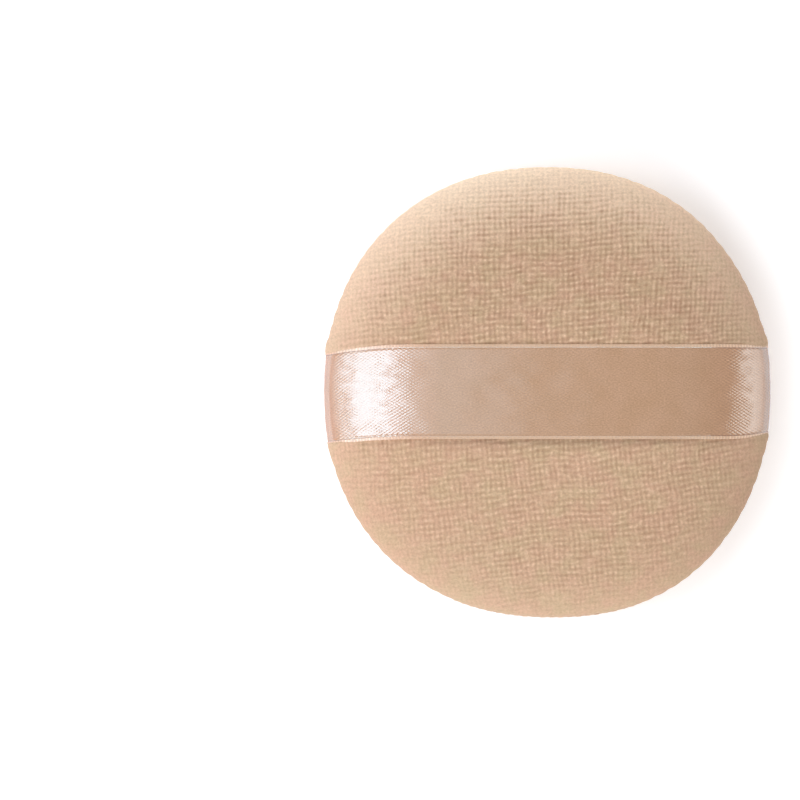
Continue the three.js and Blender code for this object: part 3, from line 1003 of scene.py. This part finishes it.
def foam_rings(side):
    """Rings of points under one cover, from the middle out, with fewer points near the middle."""
    reach = HALF_X * math.sin(QUARTER * FOAM_RIM_SHARE) ** (2 / DOME_POWER)
    end = np.interp(reach, side.profile[0][:SECTION_POINTS], side.length[:SECTION_POINTS])
    rings = []
    for s in np.linspace(0, end, FOAM_RINGS):
        count = FOAM_SECTORS
        while count > FOAM_LEAST and s < HALF_X * count / FOAM_SECTORS * FOAM_CROWDING:
            count //= 2
        around = ring_angles(count if s else 1)
        rings.append(side.place(np.full(len(around), s), around, -COVER_THICK - FIT_GAP))
    return rings


def build_foam():
    """A disc of open foam, blunt at its rim, with a groove for the allowances."""
    rings, lower_rings = foam_rings(upper), foam_rings(lower)
    rim = rings[-1][0, 0]
    top, end = ALLOWANCE_TOP + FIT_GAP, ALLOWANCE_END - FIT_GAP
    for reach, height in ((rim, top), (end, top), (end, 0.0), (end, -top), (rim, -top)):
        rings.append(on_plan(reach, ring_angles(FOAM_SECTORS), height))
    rings += lower_rings[::-1]
    faces, first = [], 0
    for ring, next_ring in zip(rings, rings[1:]):
        count, next_count = len(ring), len(next_ring)
        then = first + count
        if next_count <= count:
            faces += between_rings(first, count, then, next_count)
        else:
            faces += [face[::-1] for face in between_rings(then, next_count, first, count)]
        first = then
    points = np.concatenate(rings)
    out = points / np.maximum(TINY, np.linalg.norm(points, axis=1, keepdims=True))
    stretched = points[:, 1] + points[:, 2] * WEAR_STRETCH
    worn = ripple(points[:, 0], stretched, WEAR_PITCH, WEAR_SEED)[:, None]
    points -= out * (WEAR + WEAR * worn)
    obj = mesh_object("foam_disc", to_scene(points), faces, foam)
    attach(obj, "pad")
    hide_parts("foam_core")


build_foam()


# Sewing threads

PLY_TWIST, PLY_SIDES = 1.1, 8
PLY_OFFSET, PLY_RADIUS = THREAD / 4, THREAD * 0.27
STEEP = 0.2
STITCH_SAMPLES, CLOSING_SAMPLES = 10, 12
CLOSING_SHARPNESS = 0.98
CLOSING_DEPTH, CLOSING_BULGE, CLOSING_REACH = 0.12, 0.1, 0.34


def path_axes(path):
    """Lengths along a path, and two directions at right angles to it at each point."""
    length = np.append(0, np.cumsum(np.linalg.norm(np.diff(path, axis=0), axis=1)))
    tangent = np.gradient(path, length, axis=0)
    tangent /= np.linalg.norm(tangent, axis=1, keepdims=True)
    one = np.cross(tangent, [0.0, 0.0, 1.0])
    steep = np.linalg.norm(one, axis=1) < STEEP
    one[steep] = np.cross(tangent[steep], [1.0, 0.3, 0.0])
    one /= np.linalg.norm(one, axis=1, keepdims=True)
    return length, one, np.cross(tangent, one)


def build_thread(name, path, node):
    """Two plies twisted round each other along a path, closed at both ends."""
    length, one, two = path_axes(path)
    around = ring_angles(PLY_SIDES)
    corner = [(i, (i + 1) % PLY_SIDES) for i in range(PLY_SIDES)]
    points, faces, uv = [], [], []
    for ply in range(2):
        phase = TURN * length / PLY_TWIST + ply * math.pi
        middle = path + PLY_OFFSET * (np.cos(phase)[:, None] * one + np.sin(phase)[:, None] * two)
        round_one = np.cos(around)[:, None] * one[:, None]
        round_two = np.sin(around)[:, None] * two[:, None]
        first = ply * len(path) * PLY_SIDES
        last = first + (len(path) - 1) * PLY_SIDES
        points.append((middle[:, None] + PLY_RADIUS * (round_one + round_two)).reshape(-1, 3))
        uv.append(np.stack(np.broadcast_arrays(length[:, None], around[None] / TURN), -1).reshape(-1, 2))
        for start in range(first, last, PLY_SIDES):
            then = start + PLY_SIDES
            faces += [[start + i, start + k, then + k, then + i] for i, k in corner]
        faces.append([first + i for i in range(PLY_SIDES)][::-1])
        faces.append([last + i for i in range(PLY_SIDES)])
    obj = mesh_object(name, to_scene(np.concatenate(points)), faces, thread)
    uv_map(obj, np.concatenate(uv))
    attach(obj, "pad")
    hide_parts(node)


def seam_path(side):
    """One thread of the lockstitch, on its allowance, all round but for the turning gap."""
    radius = FOLD_FOOT - SEAM_INSET
    gap = TURNING_GAP / radius
    sewn = TURN - gap
    stitches = round(sewn * radius / STITCH)
    share = np.linspace(0, 1, stitches * STITCH_SAMPLES + 1)
    lift = STITCH_SLACK * (1 - np.cos(share * stitches * TURN)) / 2
    height = ALLOWANCE_TOP + FIT_GAP + THREAD / 2 + lift
    return on_plan(radius, -QUARTER + gap / 2 + sewn * share, side * height)


def closing_path():
    """Hand stitches to and fro between the two folds, where the turning gap is closed."""
    steps = round(TURNING_GAP / CLOSING_STEP)
    gap = TURNING_GAP / HALF_X
    share = np.linspace(0, 1, steps * CLOSING_SAMPLES + 1)
    swing = np.arcsin(CLOSING_SHARPNESS * np.cos(share * steps * math.pi)) / QUARTER
    reach = HALF_X - CLOSING_DEPTH + CLOSING_BULGE * np.abs(swing)
    return on_plan(reach, -QUARTER + gap * (share - 0.5), CLOSING_REACH * swing)


build_thread("needle_thread", seam_path(1), "seam_needle_thread")
build_thread("bobbin_thread", seam_path(-1), "seam_bobbin_thread")
build_thread("ladder_stitches", closing_path(), "closing_thread")


# Table, lamps and camera

FLOOR_HALF = 1.5
FLOOR_GLOW = 0.26
WORLD_GLOW = 0.16

# The two windows that the ribbon shows, in bands down to the table: azimuth, lean of the first band, length,
# tint, and the radiance of each band
BAND_DISTANCE, BAND_WIDTH, BAND_STEP = 0.6, 0.063, 6
WINDOWS = {
    "left_band": (180, 3, 0.28, (0.97, 1.0, 1.09),
                  (0.4, 0.4, 0.6, 2.9, 3.2, 3.05, 3.05, 3.05, 3.0, 2.55, 1.4, 0.85, 0.75, 0.55, 0.45)),
    "right_band": (0, 51, 0.36, (1.0, 0.73, 0.66), (0.2, 1.6, 2.5, 1.8, 1.6, 1.5, 1.05)),
}

# Soft boxes for the pile: lean, azimuth, length and radiance
BOX_DISTANCE, BOX_WIDTH = 0.7, 0.25
BOXES = {
    "upper_left_box": (65, 135, 0.40, 1.8),
    "lower_left_box": (65, 225, 0.40, 3.9),
    "top_box": (68, 92, 0.55, 6.4),
    "bottom_box": (50, 270, 0.55, 6.7),
}

# The photograph's frame: its width in pixels, and the puff's width and middle in it
PICTURE, PUFF_PIXELS, PUFF_X, PUFF_Y = 800, 446, 547, 391.75
PIXEL = 2 * HALF_X / PUFF_PIXELS
LOOK_FROM = 700.0
CLIP = (0.01, 10)


def build_floor():
    """Pale paper that shows white to the camera and keeps the puff's shadow."""
    m = Shader("table")
    paper = m.add("BsdfDiffuse", {"Color": PAPER_WHITE})
    rays = m.add("LightPath").node.outputs
    seen = m.math("MAXIMUM", rays["Is Camera Ray"], rays["Is Glossy Ray"])
    seen = m.math("MAXIMUM", seen, rays["Is Transmission Ray"])
    glow = m.add("Emission", {"Color": (1, 1, 1, 1), "Strength": m.times(seen, FLOOR_GLOW)})
    material = m.output(m.add("AddShader", {0: paper, 1: glow}))
    corners = FLOOR_HALF * np.array([[-1, -1, 0], [1, -1, 0], [1, 1, 0], [-1, 1, 0]])
    floor = mesh_object("table", corners, [[0, 1, 2, 3]], material)


def lamp(name, lean, azimuth, distance, size, radiance, tint=(1.0, 1.0, 1.0)):
    """A soft box of that radiance that faces the puff, leaning from straight up towards that azimuth."""
    data = bpy.data.lights.new(name, "AREA")
    data.shape = "RECTANGLE"
    data.size, data.size_y = size
    data.energy = radiance * math.pi * size[0] * size[1]
    data.color = tint
    obj = bpy.data.objects.new(name, data)
    lean, azimuth = math.radians(lean), math.radians(azimuth)
    level = math.sin(lean)
    back = Vector((level * math.cos(azimuth), level * math.sin(azimuth), math.cos(lean))).normalized()
    obj.location = back * distance + Vector((0, 0, SEAM_Z * MM))
    obj.rotation_mode = "QUATERNION"
    obj.rotation_quaternion = back.to_track_quat("Z", "Y")
    obj.visible_camera = False
    bpy.context.scene.collection.objects.link(obj)


def build_lamps():
    for name, (azimuth, first_lean, length, tint, bands) in WINDOWS.items():
        for k, radiance in enumerate(bands):
            lean = first_lean + k * BAND_STEP
            lamp(f"{name}_{lean}", lean, azimuth, BAND_DISTANCE, (length, BAND_WIDTH), radiance, tint)
    for name, (lean, azimuth, length, radiance) in BOXES.items():
        lamp(name, lean, azimuth, BOX_DISTANCE, (length, BOX_WIDTH), radiance)


def build_world():
    world = bpy.data.worlds.new("studio")
    world.use_nodes = True
    background = world.node_tree.nodes["Background"].inputs
    background["Color"].default_value = (1, 1, 1, 1)
    background["Strength"].default_value = WORLD_GLOW
    bpy.context.scene.world = world


def build_camera():
    """A camera straight above, shifted as the puff stands in the photograph's frame."""
    data = bpy.data.cameras.new("camera")
    data.lens = data.sensor_width * LOOK_FROM / (PICTURE * PIXEL)
    data.clip_start, data.clip_end = CLIP
    camera = bpy.data.objects.new("camera", data)
    x, y = (PICTURE / 2 - PUFF_X) * PIXEL, (PUFF_Y - PICTURE / 2) * PIXEL
    camera.location = (x * MM, y * MM, (SEAM_Z + LOOK_FROM) * MM)
    bpy.context.scene.collection.objects.link(camera)
    bpy.context.scene.camera = camera


build_floor()
build_world()
build_lamps()
build_camera()
bpy.context.scene.view_settings.view_transform = "Standard"
